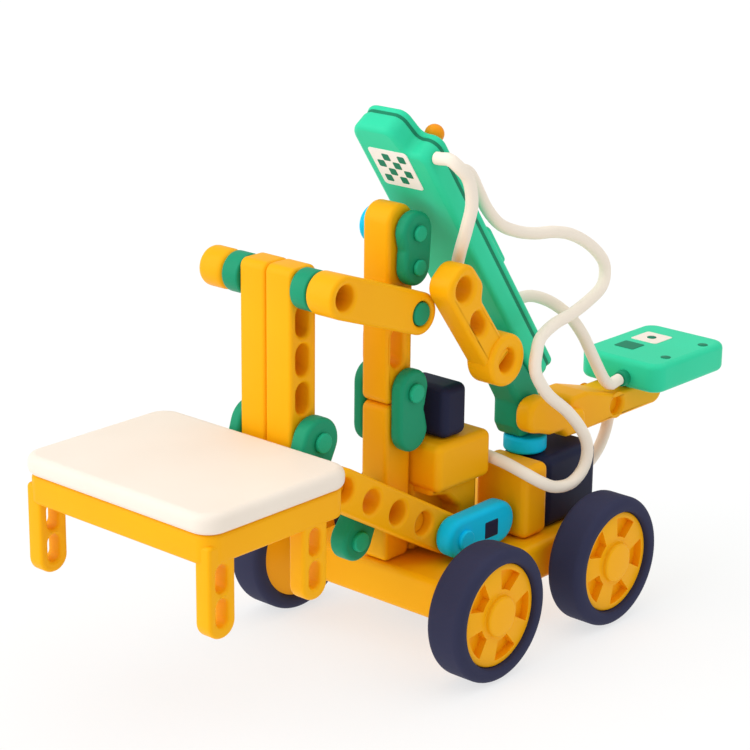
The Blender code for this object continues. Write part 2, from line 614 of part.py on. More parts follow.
def build_cables():
    cable("cable_front", "turret", [
        (24.4, 4.3, 239.2), (28, 4.1, 239.4), (33, 3.2, 240), (36.5, 5, 237), (38, 10.5, 230.5),
        (37, 14.5, 218.6), (33, 16, 206.2), (26, 20.5, 194), (18.5, 27.5, 184.5), (14, 33, 179.3),
        (13, 36.3, 180.3)])
    cable("cable_front_gearbox", "turret", [
        (20, 25, 227), (19.4, 29, 229), (18.2, 36, 225.5), (18, 42, 217), (20, 46.6, 207.5),
        (22, 54.5, 199), (24, 65.7, 194), (26, 76.5, 191.6), (28, 87.9, 190.6), (29, 100.9, 187),
        (30, 114.5, 179.5), (31.5, 123.5, 170.5), (32, 125, 163), (33, 120.6, 157.1),
        (34, 107.9, 152.6), (36, 92.3, 150), (38, 77.4, 149), (40, 64.5, 145.4),
        (43.5, 57, 139.7), (44.5, 55, 133.4), (45, 57.5, 127), (45.5, 65.5, 117.4),
        (46, 80.1, 105.9), (47, 90.7, 94), (47.5, 95, 84), (47.5, 92.3, 74.5), (47, 83.4, 69),
        (46.5, 71.5, 70), (45.5, 62, 74.5), (40.8, 54.8, 79.8), (30, 53.6, 82.7), (19, 53.6, 83.9),
        (10.9, 53.6, 84)])
    cable("cable_sensor", "turret", [
        (13.4, 76, 153.7), (14, 80.5, 156.3), (16, 88.5, 156.3), (20, 98, 152), (24, 107.5, 144),
        (26, 116.2, 133.3), (26, 124.8, 121), (26, 132, 110.5), (26.6, 136.2, 104.4),
        (27.4, 139.8, 101.6), (27.9, 143.4, 102.5), (27.9, 146.5, 102.9)])
    cable("cable_rear_motor", "turret", [
        (20, 150, 82.9), (20, 149.6, 79), (20, 147, 72), (20, 142.5, 65.5), (20, 136, 60.5),
        (20, 128, 58.3), (20, 118.5, 58)])


build_chassis()
build_axles()
build_gearboxes()
build_mast()
build_lift()
build_carriage()
build_bar()
build_turret()
build_side_link()
build_cables()
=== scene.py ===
"""Looks of the construction-kit robot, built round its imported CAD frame.

Building frame: X along the axles, Y to the rear, Z up, millimetres, with the mast's
axis at X = Y = 0. world() turns a point of it into metres in the CAD's own frame.
"""

from math import atan2, cos, hypot, pi, radians, sin

import bmesh
import bpy
from mathutils import Matrix, Vector

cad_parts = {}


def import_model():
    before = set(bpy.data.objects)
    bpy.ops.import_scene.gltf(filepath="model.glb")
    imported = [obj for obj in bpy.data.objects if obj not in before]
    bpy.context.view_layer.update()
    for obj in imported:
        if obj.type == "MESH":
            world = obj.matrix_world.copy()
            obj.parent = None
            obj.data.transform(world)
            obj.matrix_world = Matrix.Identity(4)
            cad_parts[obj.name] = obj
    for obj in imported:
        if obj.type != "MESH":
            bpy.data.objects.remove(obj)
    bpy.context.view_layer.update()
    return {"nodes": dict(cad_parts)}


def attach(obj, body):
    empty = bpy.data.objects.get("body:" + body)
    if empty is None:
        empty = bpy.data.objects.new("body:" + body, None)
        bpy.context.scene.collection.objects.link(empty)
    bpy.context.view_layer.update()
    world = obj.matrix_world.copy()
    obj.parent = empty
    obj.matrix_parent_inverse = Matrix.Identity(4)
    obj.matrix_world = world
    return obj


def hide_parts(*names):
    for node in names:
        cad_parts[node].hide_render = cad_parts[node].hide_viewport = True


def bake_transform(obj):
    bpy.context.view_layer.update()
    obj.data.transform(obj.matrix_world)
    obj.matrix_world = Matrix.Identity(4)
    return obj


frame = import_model()

MM = 0.001
SOFT = 2.0               # rounding of the moulded plates' edges
GAP = 0.3                # between pieces that touch

# pivots and bosses, each a Y and a Z unless said
LIFT_PIVOT = (0.8, 64.9)
ARM_PIVOT = (-3.0, 168.0)
CROSSBAR = (-54.5, 186.0)
EAR_PIN = (-51.5, 114.5)
BRACKET_PIN = (-27.0, 60.0)
LINK_PIVOT = (40.5, 139.5)
SPLICE_PIN = (3.0, 127.0)
TURRET = (19.0, 82.0)    # X and Y
BUTTON = (12.5, 192.5)   # X and the way up the bar

# pins, all along X but for the turret's
PIN_R = 3.0
PIN_HEAD_R = 4.8
STUD_R = 5.5
HOLE_R = 5.85

# wheels
AXLE_Y = (0.0, 89.5)
RIM_R = 25.0
WHEEL_R = 32.5
WHEEL_X = (53.0, 73.0)

# mast, beam and uprights
MAST_X = (-8.0, 8.0)
MAST_Y = (-9.0, 9.0)
MAST_Z = (43.3, 121.2, 121.5, 216.0)     # foot, splice from below and above, top
PLATE_X = (8.3, 15.0)    # plates on the mast's right side
DRIVE_X = (8.3, 24.0)    # beam and upper arm
LEVER_X = (24.3, 34.0)
BEAM_R = 10.0
BEAM_ANGLE = radians(30)
BEAM_PITCH = 21.1
BEAM_HOLES = 5
POST_Y = -54.0
POST_Z = (88.0, 195.5)
POST_HALF = 8.5

# table
TABLE_X = (-79.5, 41.0)
TABLE_Y = (-156.4, -66.6)
TABLE_Z = (106.5, 116.0)
APRON_Z = 93.0
APRON_INSET = 2.0
APRON_WALL = 9.0
LEG_FOOT_Z = 59.0
LEG_WIDTH = 15.5
BACK_LEG_Y = -89.3
APRON_GAP = 0.1
LEG_INSET_X, LEG_INSET_Y = 0.3, 0.6

# turret: the leaning bar is measured across it, up it and through it
BAR_TILT = radians(35)
BAR_FACES = (135.0, 146.0, 146.3, 150.0)     # front shell's two faces, back shell's two
BAR_X = (-16.0, 24.0)
BAR_S = (43.0, 212.0)
SENSOR_X = (-2.0, 48.5)
SENSOR_Y = (151.0, 214.2)
SENSOR_Z = (97.3, 112.5)
PORT = (27.9, 102.9)     # X and Z of the sensor's socket
ARM_BORE = (143.0, 90.5)
CABLE_R = 3.0

# from the mast's axis to the middle of the whole object
CENTRE = ((TABLE_X[0] + WHEEL_X[1]) / 2, (TABLE_Y[0] + SENSOR_Y[1]) / 2)


def beam_hole(index):
    """Y and Z of a hole of the perforated beam, whose fourth sits on the lift's pivot."""
    reach = (3 - index) * BEAM_PITCH
    return LIFT_PIVOT[0] - reach * cos(BEAM_ANGLE), LIFT_PIVOT[1] + reach * sin(BEAM_ANGLE)


def world(x, y, z):
    return Vector((x - CENTRE[0], y - CENTRE[1], z)) * MM


# ---------------------------------------------------------------- camera, floor and light
CAMERA_AT = world(687.6, -782.6, 467.5)
CAMERA_AZIMUTH, CAMERA_DOWN, CAMERA_ROLL = radians(41.6), radians(17.8), radians(0.6)
LENS, SENSOR_WIDTH = 112.8, 36
FLOOR_SIZE, FLOOR_SINK = 24, 0.0005
FLOOR_BASE, FLOOR_GLOW, FLOOR_ROUGHNESS = 0.3, 0.69, 0.9
SKY_STRENGTH = 0.58
KEY_LIGHT = ((-1.1, -2.0, 1.2), 1.72, radians(75))
TOP_LIGHT = ((0.3, 0.4, 2.0), 0.95, radians(80))


def add_camera():
    data = bpy.data.cameras.new("camera")
    data.lens = LENS
    data.sensor_width = SENSOR_WIDTH
    camera = bpy.data.objects.new("camera", data)
    camera.matrix_world = (Matrix.Translation(CAMERA_AT)
                           @ Matrix.Rotation(CAMERA_AZIMUTH, 4, "Z")
                           @ Matrix.Rotation(pi / 2 - CAMERA_DOWN, 4, "X")
                           @ Matrix.Rotation(CAMERA_ROLL, 4, "Z"))
    bpy.context.scene.collection.objects.link(camera)
    bpy.context.scene.camera = camera


def add_sun(name, direction, strength, spread):
    """A broad soft light from the given direction, even over the whole floor."""
    data = bpy.data.lights.new(name, "SUN")
    data.energy, data.angle = strength, spread
    light = bpy.data.objects.new(name, data)
    light.rotation_euler = Vector(direction).to_track_quat("Z", "Y").to_euler()
    bpy.context.scene.collection.objects.link(light)


def add_stage():
    bpy.ops.mesh.primitive_plane_add(size=FLOOR_SIZE, location=(0, 0, -FLOOR_SINK))
    floor = bpy.context.object
    floor.name = "floor"
    material = bpy.data.materials.new("floor")
    material.use_nodes = True
    shader = material.node_tree.nodes["Principled BSDF"]
    shader.inputs["Base Color"].default_value = (FLOOR_BASE, FLOOR_BASE, FLOOR_BASE, 1)
    shader.inputs["Emission Color"].default_value = (1, 1, 1, 1)
    shader.inputs["Emission Strength"].default_value = FLOOR_GLOW
    shader.inputs["Roughness"].default_value = FLOOR_ROUGHNESS
    shader.inputs["Specular IOR Level"].default_value = 0.0
    floor.data.materials.append(material)
    sky = bpy.data.worlds.new("studio")
    sky.use_nodes = True
    background = sky.node_tree.nodes["Background"]
    background.inputs["Color"].default_value = (1, 1, 1, 1)
    background.inputs["Strength"].default_value = SKY_STRENGTH
    bpy.context.scene.world = sky
    bpy.context.scene.view_settings.view_transform = "Standard"
    add_sun("key", *KEY_LIGHT)
    add_sun("top", *TOP_LIGHT)


# ---------------------------------------------------------------- materials
MOTTLE_SCALE, MOTTLE_DETAIL, MOTTLE_SPAN = 22, 3, (0.3, 0.72)
GRAIN_SCALE, GRAIN_DETAIL, GRAIN_DEPTH, GRAIN_STRENGTH = 900, 2, 0.0001, 0.3
GLOSS_SPAN = (-0.06, 0.08)       # either side of a plastic's roughness
SPECULAR = 0.12
GRAIN = 0.35

# colour, shade, roughness, grain and the record's material slot
FINISHES = {
    "yellow": ((0.98, 0.465, 0.002), (0.96, 0.43, 0.002), 0.4, GRAIN, "yellow_plastic"),
    "orange": ((0.95, 0.35, 0.006), (0.93, 0.31, 0.005), 0.4, GRAIN, "orange_plastic"),
    "dark_green": ((0.013, 0.33, 0.17), (0.009, 0.29, 0.145), 0.4, GRAIN, "dark_green_plastic"),
    "light_green": ((0.033, 0.7, 0.39), (0.03, 0.65, 0.35), 0.38, GRAIN, "light_green_plastic"),
    "pin_green": ((0.016, 0.46, 0.25), (0.014, 0.42, 0.225), 0.4, GRAIN, "light_green_plastic"),
    "navy": ((0.017, 0.02, 0.056), (0.014, 0.017, 0.048), 0.5, GRAIN, "navy_plastic"),
    "tyre": ((0.036, 0.038, 0.084), (0.029, 0.031, 0.07), 0.68, 0.9, "tyre"),
    "blue": ((0.002, 0.62, 0.97), (0.002, 0.57, 0.9), 0.4, GRAIN, "blue_plastic"),
    "cream": ((0.92, 0.83, 0.725), (0.9, 0.8, 0.69), 0.48, GRAIN, "cream_plastic"),
    "label": ((0.97, 0.94, 0.89), (0.95, 0.92, 0.86), 0.5, GRAIN, "cream_plastic"),
    "cable": ((0.95, 0.86, 0.74), (0.92, 0.82, 0.69), 0.5, 0.5, "cable"),
    "mark": ((0.012, 0.24, 0.125), (0.01, 0.21, 0.11), 0.5, GRAIN, "dark_green_plastic"),
    "board": ((0.01, 0.12, 0.05), (0.008, 0.09, 0.04), 0.5, GRAIN, "board"),
    "battery": ((0.06, 0.06, 0.08), (0.05, 0.05, 0.066), 0.45, GRAIN, "battery"),
    "steel": ((0.62, 0.62, 0.63), (0.5, 0.5, 0.52), 0.34, 0.6, "steel"),
}


def noise(tree, scale, detail):
    place = tree.nodes.new("ShaderNodeTexCoord")
    texture = tree.nodes.new("ShaderNodeTexNoise")
    texture.inputs["Scale"].default_value = scale
    texture.inputs["Detail"].default_value = detail
    tree.links.new(place.outputs["Object"], texture.inputs["Vector"])
    return texture


def moulded(name, colour, shade, roughness, grain):
    """Moulded plastic: mottled colour, a fine grain in its bump and uneven gloss."""
    material = bpy.data.materials.new(name)
    material.use_nodes = True
    tree = material.node_tree
    nodes, links = tree.nodes, tree.links
    shader = nodes["Principled BSDF"]
    broad = noise(tree, MOTTLE_SCALE, MOTTLE_DETAIL)
    fine = noise(tree, GRAIN_SCALE, GRAIN_DETAIL)
    ramp = nodes.new("ShaderNodeValToRGB")
    for stop, position, tint in zip(ramp.color_ramp.elements, MOTTLE_SPAN, (shade, colour)):
        stop.position = position
        stop.color = (*tint, 1)
    links.new(broad.outputs["Fac"], ramp.inputs["Fac"])
    links.new(ramp.outputs["Color"], shader.inputs["Base Color"])
    gloss = nodes.new("ShaderNodeMapRange")
    gloss.inputs["To Min"].default_value = roughness + GLOSS_SPAN[0]
    gloss.inputs["To Max"].default_value = roughness + GLOSS_SPAN[1]
    links.new(broad.outputs["Fac"], gloss.inputs["Value"])
    links.new(gloss.outputs["Result"], shader.inputs["Roughness"])
    bump = nodes.new("ShaderNodeBump")
    bump.inputs["Strength"].default_value = grain * GRAIN_STRENGTH
    bump.inputs["Distance"].default_value = GRAIN_DEPTH
    links.new(fine.outputs["Fac"], bump.inputs["Height"])
    links.new(bump.outputs["Normal"], shader.inputs["Normal"])
    shader.inputs["Specular IOR Level"].default_value = SPECULAR
    return material


SKIN = {name: (moulded(name, *row[:-1]), row[-1]) for name, row in FINISHES.items()}
SKIN["steel"][0].node_tree.nodes["Principled BSDF"].inputs["Metallic"].default_value = 1


# ---------------------------------------------------------------- outlines
def arc(centre, radius, start, end, count):
    steps = [radians(start + (end - start) * i / (count - 1)) for i in range(count)]
    return [(centre[0] + radius * cos(a), centre[1] + radius * sin(a)) for a in steps]


def circle(centre, radius, count=48):
    return arc(centre, radius, 0, 360, count + 1)[:-1]


def capsule(first, second, radius, second_radius=None, count=25):
    """Two round ends joined by their tangents."""
    second_radius = radius if second_radius is None else second_radius
    dx, dy = second[0] - first[0], second[1] - first[1]
    along = atan2(dy, dx) * 180 / pi
    lean = atan2(radius - second_radius, hypot(dx, dy)) * 180 / pi
    near = arc(first, radius, along + 90 - lean, along + 270 + lean, count)
    return near + arc(second, second_radius, along - 90 + lean, along + 90 - lean, count)


def slot(centre, radius, half_length, count=17):
    """An upright slot with round ends."""
    y, z = centre
    return capsule((y, z - half_length), (y, z + half_length), radius, count=count)


def rounded(corners, count=12):
    """A polygon whose corners, each with its own radius, are rounded."""
    points = []
    for i, (x, y, radius) in enumerate(corners):
        here = Vector((x, y))
        back = (Vector(corners[i - 1][:2]) - here).normalized()
        ahead = (Vector(corners[(i + 1) % len(corners)][:2]) - here).normalized()
        half = back.angle(ahead) / 2
        reach = radius * cos(half) / sin(half)
        centre = here + (back + ahead).normalized() * (radius / sin(half))
        first = here + back * reach - centre
        turn = first.angle_signed(here + ahead * reach - centre)
        for step in range(count):
            points.append(tuple(centre + Matrix.Rotation(-turn * step / (count - 1), 2) @ first))
    return points


def rectangle(x_range, y_range, radius):
    (x0, x1), (y0, y1) = x_range, y_range
    return rounded([(x0, y0, radius), (x1, y0, radius), (x1, y1, radius), (x0, y1, radius)])


def wound(loop, left):
    """The loop running anticlockwise when left is true, and clockwise otherwise."""
    area = sum(a[0] * b[1] - b[0] * a[1] for a, b in zip(loop, loop[1:] + loop[:1]))
    return loop if (area > 0) == left else loop[::-1]


# ---------------------------------------------------------------- pieces
# how an outline's plane stands: across X, level, or along the leaning bar
SIDE = Matrix(((0, 0, 1), (1, 0, 0), (0, 1, 0))).to_4x4()
FLAT = Matrix.Identity(4)
BAR = Matrix.Rotation(pi / 2 + BAR_TILT, 4, "X")
# where a turned piece's axis points
ALONG_X = (0, pi / 2, 0)
ALONG_Z = (0, 0, 0)
FORWARD = (pi / 2, 0, 0)
OFF_BAR = (BAR_TILT - pi / 2, 0, 0)
SLAB_EDGE_STEPS, BOX_EDGE_STEPS, CABLE_STEPS = 4, 6, 6
FINE, MEDIUM, COARSE = 64, 48, 40        # steps round a turned piece
WELD = 1e-6
ROUTE_STEPS, ROUTE_SPACING = 40, 2.5


def show(obj):
    bpy.context.scene.collection.objects.link(obj)
    return obj


def finish(obj, body, skin, node=None):
    """Gives a piece its material and its body, and hides the CAD node that it stands for."""
    material, slot_name = SKIN[skin]
    obj.data.materials.append(material)
    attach(obj, body)
    if node:
        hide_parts(node)


def slab(name, facing, span, outline, holes=(), soft=SOFT):
    """A moulded plate: a flat outline with round edges, holes included."""
    curve = bpy.data.curves.new(name, "CURVE")
    curve.dimensions = "2D"
    curve.fill_mode = "BOTH"
    curve.bevel_depth = soft * MM
    curve.bevel_resolution = SLAB_EDGE_STEPS
    curve.offset = -soft * MM
    curve.extrude = (abs(span[1] - span[0]) / 2 - soft) * MM
    for loop in (wound(outline, True), *(wound(hole, False) for hole in holes)):
        spline = curve.splines.new("POLY")
        spline.points.add(len(loop) - 1)
        for point, (u, v) in zip(spline.points, loop):
            point.co = (u * MM, v * MM, 0, 1)
        spline.use_cyclic_u = True
    obj = bpy.data.objects.new(name, curve)
    lift = Matrix.Translation((0, 0, (span[0] + span[1]) / 2 * MM))
    obj.matrix_world = Matrix.Translation(world(0, 0, 0)) @ facing @ lift
    return show(obj)


def box(name, x_range, y_range, z_range, soft):
    """A block with generously rounded edges and corners."""
    mesh = bpy.data.meshes.new(name)
    form = bmesh.new()
    bmesh.ops.create_cube(form, size=1)
    size = [(high - low) * MM for low, high in (x_range, y_range, z_range)]
    bmesh.ops.scale(form, vec=size, verts=form.verts)
    form.to_mesh(mesh)
    form.free()
    obj = bpy.data.objects.new(name, mesh)
    obj.location = world(*(sum(r) / 2 for r in (x_range, y_range, z_range)))
    edge = obj.modifiers.new("edges", "BEVEL")
    edge.width = soft * MM
    edge.segments = BOX_EDGE_STEPS
    mesh.shade_smooth()
    even = obj.modifiers.new("even", "WEIGHTED_NORMAL")
    even.keep_sharp = True
    return show(obj)


def round_profile(sections, soft):
    """Profile of a stepped turned piece, each step a radius, a low and a high end."""
    top = sections[-1][2]
    points = [(0, top)]
    for radius, low, high in reversed(sections):
        bend = min(soft, radius * 0.9, (high - low) * 0.49)
        points += arc((radius - bend, high - bend), bend, 90, 0, 6)
        points += arc((radius - bend, low + bend), bend, 0, -90, 6)
    points.append((0, sections[0][1]))
    return points


def turned(name, profile, centre, axis, closed=False, steps=FINE):
    """A profile of radii and heights turned about its axis."""
    mesh = bpy.data.meshes.new(name)
    form = bmesh.new()
    points = [form.verts.new((r * MM, 0, h * MM)) for r, h in profile]
    for first, second in zip(points, points[1:] + (points[:1] if closed else [])):
        form.edges.new((first, second))
    form.to_mesh(mesh)
    form.free()
    obj = bpy.data.objects.new(name, mesh)
    obj.location = world(*centre)
    obj.rotation_euler = axis
    screw = obj.modifiers.new("turn", "SCREW")
    screw.steps = screw.render_steps = steps
    screw.use_merge_vertices = True
    screw.merge_threshold = WELD
    screw.use_smooth_shade = True
    return show(obj)


def real_mesh(obj):
    """A mesh of the object as it shows, with its modifiers applied."""
    bpy.context.view_layer.update()
    evaluated = obj.evaluated_get(bpy.context.evaluated_depsgraph_get())
    return bpy.data.meshes.new_from_object(evaluated)


def pin(name, sections, centre, soft=0.8):
    return turned(name, round_profile(sections, soft), (0, *centre), ALONG_X, steps=MEDIUM)


def smooth_route(points):
    """Evenly spaced points in metres on a smooth curve through the given points."""
    points = [Vector(p) for p in points]
    ends = [2 * points[0] - points[1], *points, 2 * points[-1] - points[-2]]
    dense = []
    for p0, p1, p2, p3 in zip(ends, ends[1:], ends[2:], ends[3:]):
        for step in range(ROUTE_STEPS):
            t = step / ROUTE_STEPS
            dense.append(0.5 * (2 * p1 + (p2 - p0) * t
                                + (2 * p0 - 5 * p1 + 4 * p2 - p3) * t * t
                                + (3 * p1 - p0 - 3 * p2 + p3) * t ** 3))
    dense.append(points[-1])
    kept = [dense[0]]
    for point in dense[1:]:
        if (point - kept[-1]).length >= ROUTE_SPACING:
            kept.append(point)
    kept[-1] = dense[-1]
    return [world(*p) for p in kept]


def cable(node, points, crosses=None):
    """A flexible lead on the turret; one that crosses the turret's joint is made a fixed tube that
    belongs to neither body.
    """
    name = node + "_lead"
    route = smooth_route(points)
    curve = bpy.data.curves.new(name, "CURVE")
    curve.dimensions = "3D"
    curve.bevel_depth = CABLE_R * MM
    curve.bevel_resolution = CABLE_STEPS
    curve.use_fill_caps = True
    spline = curve.splines.new("POLY")
    spline.points.add(len(route) - 1)
    for point, place in zip(spline.points, route):
        point.co = (*place, 1)
    lead = show(bpy.data.objects.new(name, curve))
    if not crosses:
        finish(lead, "turret", "cable", node)
        return
    mesh = real_mesh(lead)
    bpy.data.objects.remove(lead, do_unlink=True)
    mesh.shade_smooth()
    tube = show(bpy.data.objects.new(name, mesh))
    material, slot_name = SKIN["cable"]
    tube.data.materials.append(material)
    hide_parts(node)
    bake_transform(tube)


# ---------------------------------------------------------------- cables
# each cable's route, and where one that crosses the turret's joint starts and ends bending
CABLES = {
    "cable_front": ([
        (24.4, 4.3, 239.2), (28, 4.1, 239.4), (33, 3.2, 240), (36.5, 5, 237), (38, 10.5, 230.5),
        (37, 14.5, 218.6), (33, 16, 206.2), (26, 20.5, 194), (18.5, 27.5, 184.5),
        (14, 33, 179.3), (13, 36.3, 180.3)], None),
    "cable_front_gearbox": ([
        (20, 25, 227), (19.4, 29, 229), (18.2, 36, 225.5), (18, 42, 217), (20, 46.6, 207.5),
        (22, 54.5, 199), (24, 65.7, 194), (26, 76.5, 191.6), (28, 87.9, 190.6),
        (29, 100.9, 187), (30, 114.5, 179.5), (31.5, 123.5, 170.5), (32, 125, 163),
        (33, 120.6, 157.1), (34, 107.9, 152.6), (36, 92.3, 150), (38, 77.4, 149),
        (40, 64.5, 145.4), (43.5, 57, 139.7), (44.5, 55, 133.4), (45, 57.5, 127),
        (45.5, 65.5, 117.4), (46, 80.1, 105.9), (47, 90.7, 94), (47.5, 95, 84),
        (47.5, 92.3, 74.5), (47, 83.4, 69), (46.5, 71.5, 70), (45.5, 62, 74.5),
        (40.8, 54.8, 79.8), (30, 53.6, 82.7), (19, 53.6, 83.9), (10.9, 53.6, 84)],
        ((30, 80, 140), (30, 80, 78))),
    "cable_sensor": ([
        (13.4, 76, 153.7), (14, 80.5, 156.3), (16, 88.5, 156.3), (20, 98, 152), (24, 107.5, 144),
        (26, 116.2, 133.3), (26, 124.8, 121), (26, 132, 110.5), (26.6, 136.2, 104.4),
        (27.4, 139.8, 101.6), (27.9, 143.4, 102.5), (27.9, 146.5, 102.9)], None),
    "cable_rear_motor": ([
        (20, 150, 82.9), (20, 149.6, 79), (20, 147, 72), (20, 142.5, 65.5), (20, 136, 60.5),
        (20, 128, 58.3), (20, 118.5, 58)], ((20, 148, 80), (20, 122, 58))),
}

# ---------------------------------------------------------------- base
CHASSIS_X, CHASSIS_Y, CHASSIS_Z = (-46, 46), (-10, 115), (23, 43)
DECK_Z = CHASSIS_Z[1] + GAP
# X, Y and Z ranges, rounding, colour and CAD node
BLOCKS = {
    "front_gearbox_head": ((-20, 24), (10.5, 50), (76, 100), 4, "yellow", "gearbox_front"),
    "front_gearbox_core": ((-20, 7.6), (10.5, 46.1), (DECK_Z, 80), 3, "yellow", None),
    "front_gearbox_gland": ((2, 10.5), (46, 56.5), (80, 88), 1.5, "yellow", None),
    "front_motor_case": ((-8, 20), (19, 36), (100.3, 126), 4, "navy", "motor_front"),
    "rear_gearbox_case": ((7, 39), (58.2, 76.5), (DECK_Z, 80), 4, "yellow", "gearbox_rear"),
    "rear_motor_case": ((8, 37), (76.8, 118), (DECK_Z, 80), 4.5, "navy", "motor_rear"),
}
# the front gearbox's right part, cut back on a slope to clear the beam: Y, Z and corner radius
TAIL_X = (2, 18.5)
TAIL = [(33.4, DECK_Z, 2.5), (46, DECK_Z, 2.5), (46, 80, 1), (12, 80, 1), (12, 74, 1),
        (24.2, 71.4, 3), (33.4, 62.6, 4)]


def build_base():
    finish(slab("chassis_shell", FLAT, CHASSIS_Z, rectangle(CHASSIS_X, CHASSIS_Y, 8), soft=3.5),
           "root", "yellow", "chassis")
    for name, (x_range, y_range, z_range, soft, skin, node) in BLOCKS.items():
        finish(box(name, x_range, y_range, z_range, soft), "root", skin, node)
    finish(slab("front_gearbox_tail", SIDE, TAIL_X, rounded(TAIL, count=6), soft=2.2), "root",
           "yellow")


# ---------------------------------------------------------------- wheels
HUB_R, HUB_SOFT = 9.8, 1.3
# radius and height over the disc's face, which lies FACE_DEPTH below the hub's
FACE_DEPTH = 2.5
FACE = ((10, 0.4), (10.5, 0), (23.7, 0), (24.6, -0.3), (RIM_R, -1))
RIM_BACK = 2
AXLE_SOCKET_R, AXLE_SOCKET_DEPTH = 3.3, 4
TYRE_BEND = 4.2
TYRE_BEAD = ((0.2, 1.6), (0.6, 0.5), (1.6, 0))       # over the rim's radius, below its edge
POCKETS, POCKET_START = 5, 68
POCKET_R, POCKET_HALF_ANGLE = (12.5, 22), (15, 20)
POCKET_DEPTHS = (6.5, -2)


def rim_profile(inner, outer, sign):
    crown = [(HUB_R - HUB_SOFT * (1 - cos(radians(a))), sin(radians(a)))
             for a in range(90, -1, -18)]
    hub = [(x, outer - HUB_SOFT * sign + HUB_SOFT * sign * h) for x, h in crown]
    face = outer - FACE_DEPTH * sign
    back, socket = inner + RIM_BACK * sign, outer - AXLE_SOCKET_DEPTH * sign
    return ([(0, outer), *hub] + [(radius, face + h * sign) for radius, h in FACE]
            + [(RIM_R, back), (AXLE_SOCKET_R, back), (AXLE_SOCKET_R, socket), (0, socket)])


def tyre_profile(inner, outer, sign):
    shoulder = [(WHEEL_R - TYRE_BEND + TYRE_BEND * sin(radians(a)),
                 TYRE_BEND * (1 - cos(radians(a)))) for a in range(0, 91, 10)]
    return ([(RIM_R + up, outer - depth * sign) for up, depth in TYRE_BEAD]
            + [(r, outer - depth * sign) for r, depth in shoulder]
            + [(r, inner + depth * sign) for r, depth in reversed(shoulder)]
            + [(RIM_R + up, inner + depth * sign) for up, depth in (TYRE_BEAD[2], TYRE_BEAD[0])])


def cut(solid, outline, span):
    """Cuts an outline through the span out of a solid, whose modifiers are applied."""
    cutter = slab("cutter", SIDE, span, outline, soft=0)
    mesh = real_mesh(cutter)
    form = bmesh.new()
    form.from_mesh(mesh)
    bmesh.ops.remove_doubles(form, verts=form.verts, dist=WELD)
    bmesh.ops.recalc_face_normals(form, faces=form.faces)
    form.to_mesh(mesh)
    form.free()
    knife = show(bpy.data.objects.new("knife", mesh))
    knife.matrix_world = cutter.matrix_world
    solid.modifiers.new("pocket", "BOOLEAN").object = knife
    carved = real_mesh(solid)
    solid.modifiers.clear()
    solid.data = carved
    bpy.data.objects.remove(knife, do_unlink=True)
    bpy.data.objects.remove(cutter, do_unlink=True)


def build_wheel(side, end, axle_y):
    sign = 1 if side == "right" else -1
    inner, outer = WHEEL_X[0] * sign, WHEEL_X[1] * sign
    place = (0, axle_y, WHEEL_R)
    rim, rubber = rim_profile(inner, outer, sign), tyre_profile(inner, outer, sign)
    if sign < 0:
        rim.reverse()
        rubber.reverse()
    body = end + "_axle"
    disc = turned("%s_wheel_disc_%s" % (end, side), rim, place, ALONG_X, steps=80)
    for pocket in range(POCKETS):
        turn = POCKET_START + 360 / POCKETS * pocket
        narrow, wide = POCKET_HALF_ANGLE
        wedge = (arc((axle_y, WHEEL_R), POCKET_R[1], turn - wide, turn + wide, 17)
                 + arc((axle_y, WHEEL_R), POCKET_R[0], turn + narrow, turn - narrow, 9))
        cut(disc, wedge, sorted(outer - depth * sign for depth in POCKET_DEPTHS))
    disc.data.shade_smooth()
    disc.data.set_sharp_from_angle(angle=radians(30))
    edge = disc.modifiers.new("edges", "BEVEL")
    edge.limit_method = "ANGLE"
    edge.angle_limit = radians(50)
    edge.width = 0.5 * MM
    edge.segments = 3
    finish(disc, body, "yellow", "%s_rim_%s" % (end, side))
    tyre = turned("%s_wheel_rubber_%s" % (end, side), rubber, place, ALONG_X, closed=True,
                  steps=96)
    finish(tyre, body, "tyre", "%s_tyre_%s" % (end, side))


# ---------------------------------------------------------------- mast
MAST_WINDOW = (-1.4, 148)
SPLICE_TOP, SPLICE_BOTTOM, SPLICE_WAIST = (3, 128), (3, 108), (14.2, 117.6)
TIP_PINS = {"lower": (187, -8), "upper": (203, -13.5)}       # Z, and where the shank ends
TIP_Y, TIP_TOP, TIP_BOTTOM, TIP_WAIST = 4, (4, 203), (4, 187), (-7.6, 195.5)
CAP_R, CAP_X = 9.2, (-14.5, -8.3)
RIVET_HEAD = 2.3


